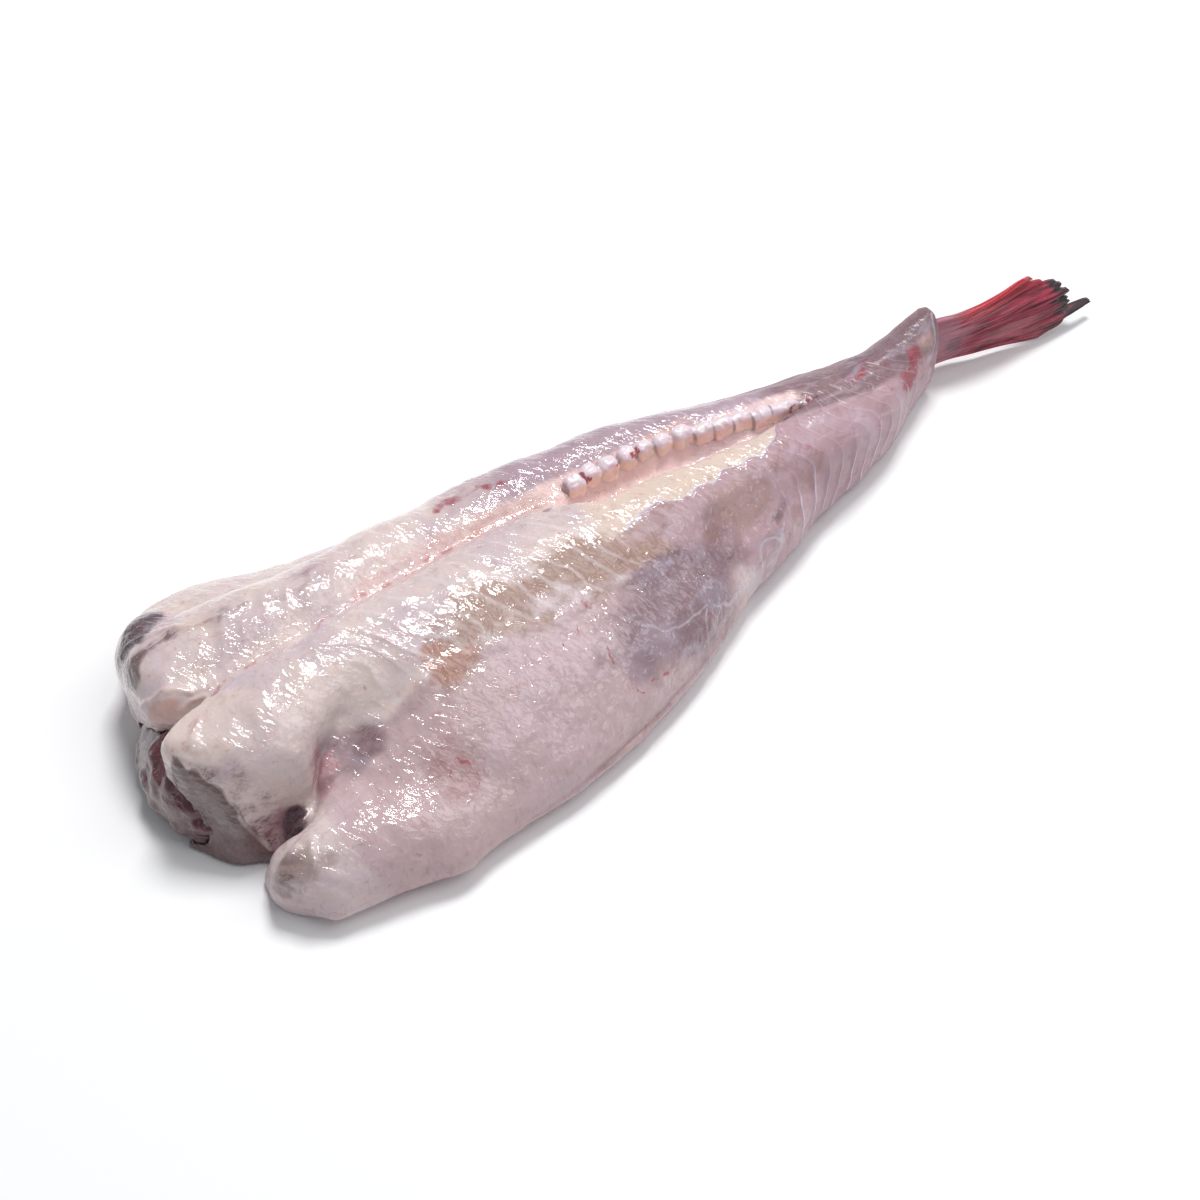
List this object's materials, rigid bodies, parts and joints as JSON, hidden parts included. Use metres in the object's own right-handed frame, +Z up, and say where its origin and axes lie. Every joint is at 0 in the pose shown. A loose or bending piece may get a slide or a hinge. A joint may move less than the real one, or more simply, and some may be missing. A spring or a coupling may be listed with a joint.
{
  "type": "skinned monkfish tail",
  "caption": "Whole skinned fish tail lying belly down, with two loins, belly flaps, a groove along the back and its tail fin left on.",
  "frame": {"origin": "middle of the flat underside that the tail lies on", "axes": "+X along the body from the head cut to the tail fin, +Z up through the back, +Y towards the fish's right side"},
  "size_m": [0.504, 0.1866, 0.0598],
  "materials": {
    "flesh": null,
    "lining": null,
    "fin": null,
    "fin_base": null
  },
  "bodies": {
    "root": {"flesh": "flesh", "belly_lining": "lining", "tail_fin": "fin", "fin_base_01": "fin_base", "fin_base_02": "fin_base", "fin_base_03": "fin_base", "fin_base_04": "fin_base", "fin_base_05": "fin_base", "fin_base_06": "fin_base", "fin_base_07": "fin_base", "fin_base_08": "fin_base", "fin_base_09": "fin_base", "fin_base_10": "fin_base", "fin_base_11": "fin_base", "fin_base_12": "fin_base", "fin_base_13": "fin_base", "fin_base_14": "fin_base", "fin_base_15": "fin_base", "fin_base_16": "fin_base"}
  },
  "joints": []
}
